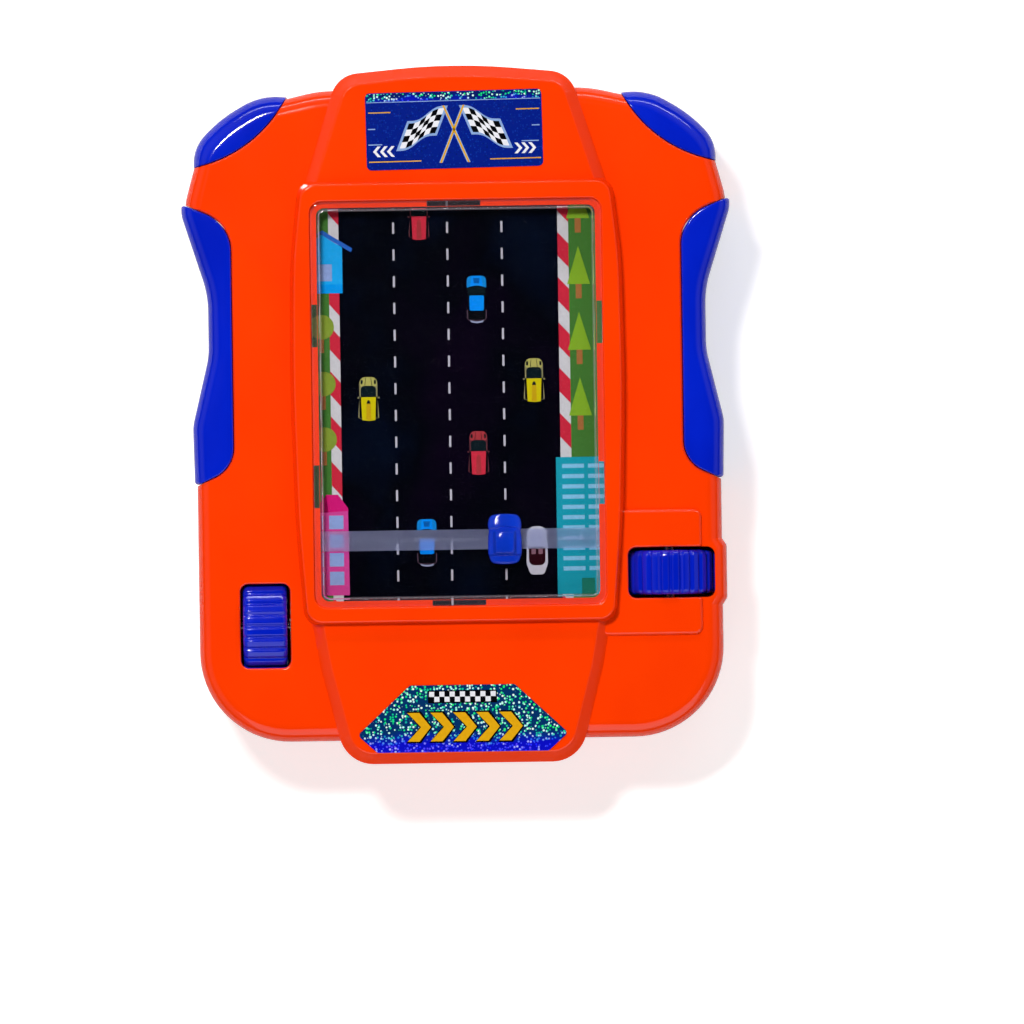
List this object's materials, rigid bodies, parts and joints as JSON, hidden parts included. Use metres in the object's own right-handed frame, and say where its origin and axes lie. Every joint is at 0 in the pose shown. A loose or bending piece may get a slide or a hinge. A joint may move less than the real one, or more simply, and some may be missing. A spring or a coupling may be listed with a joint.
{
  "type": "hand cranked road racing toy",
  "caption": "Handheld toy case with a window over an endless road belt cranked by one thumb wheel, and a small car steered across it by another.",
  "frame": {"origin": "centre of the back face that the toy lies on", "axes": "+X across the face to the right, +Y up the face from nose to header, +Z out of the face towards the player"},
  "size_m": [0.134, 0.1702, 0.0389],
  "materials": {
    "orange_abs": "glossy moulded ABS",
    "blue_abs": "glossy moulded ABS",
    "clear_lens": "clear moulded polystyrene",
    "foil_sticker": "holographic foil sticker under clear film",
    "printed_film": "printed polyester film",
    "white_abs": "moulded ABS",
    "black_abs": "moulded ABS",
    "acetal": "moulded acetal",
    "zinc_screw": "zinc plated steel",
    "steel_shaft": "drawn steel",
    "nylon_cord": "twisted nylon cord",
    "frosted_rail": "frosted clear polystyrene"
  },
  "bodies": {
    "root": {"front_shell": "orange_abs", "back_shell": "orange_abs", "window_lens": "clear_lens", "left_grip": "blue_abs", "right_grip": "blue_abs", "left_corner_bumper": "blue_abs", "right_corner_bumper": "blue_abs", "header_label": "foil_sticker", "nose_label": "foil_sticker", "road_belt": "printed_film", "belt_table": "white_abs", "left_side_frame": "white_abs", "right_side_frame": "white_abs", "frame_screws": "zinc_screw", "frame_foot_screws": "zinc_screw", "case_screws": "zinc_screw", "pulley_pin": "steel_shaft", "drive_cord": "nylon_cord", "car_rail": "frosted_rail"},
    "crank": {"crank_wheel": "blue_abs", "crank_gear": "acetal", "crank_shaft": "steel_shaft"},
    "drive_roller": {"drive_roller": "black_abs", "drive_roller_shaft": "steel_shaft", "roller_pinion": "acetal"},
    "idler_roller": {"idler_roller": "black_abs", "idler_roller_shaft": "steel_shaft"},
    "steering": {"steering_wheel": "blue_abs", "cord_drum": "acetal", "steering_shaft": "steel_shaft"},
    "cord_pulley": {"cord_pulley": "acetal"},
    "car": {"car_body": "blue_abs", "car_carriage": "acetal"}
  },
  "joints": [
    {"name": "crank_turn", "type": "hinge", "parent": "root", "child": "crank", "pos_m": [-0.0479, -0.051, 0.0232], "axis": [1, 0, 0], "continuous": true},
    {"name": "drive_roller_turn", "type": "hinge", "parent": "root", "child": "drive_roller", "pos_m": [0, -0.06255, 0.02345], "axis": [1, 0, 0], "continuous": true},
    {"name": "idler_roller_turn", "type": "hinge", "parent": "root", "child": "idler_roller", "pos_m": [0, 0.06, 0.02345], "axis": [1, 0, 0], "continuous": true},
    {"name": "steering_turn", "type": "hinge", "parent": "root", "child": "steering", "pos_m": [0.0512, -0.0393, 0.0246], "axis": [0, 1, 0], "range_deg": [-276.1, 53.8]},
    {"name": "cord_pulley_turn", "type": "hinge", "parent": "root", "child": "cord_pulley", "pos_m": [-0.046, -0.0306, 0.0246], "axis": [0, 1, 0], "range_deg": [-277.1, 54.8]},
    {"name": "car_slide", "type": "slide", "parent": "root", "child": "car", "axis": [1, 0, 0], "range_m": [-0.032, 0.0064]}
  ],
  "couplings": [
    {"joint": "drive_roller_turn", "follows": "crank_turn", "ratio": -2},
    {"joint": "idler_roller_turn", "follows": "crank_turn", "ratio": -2},
    {"joint": "cord_pulley_turn", "follows": "steering_turn", "ratio": 1},
    {"joint": "car_slide", "follows": "steering_turn", "m_per_rad": 0.0066}
  ]
}
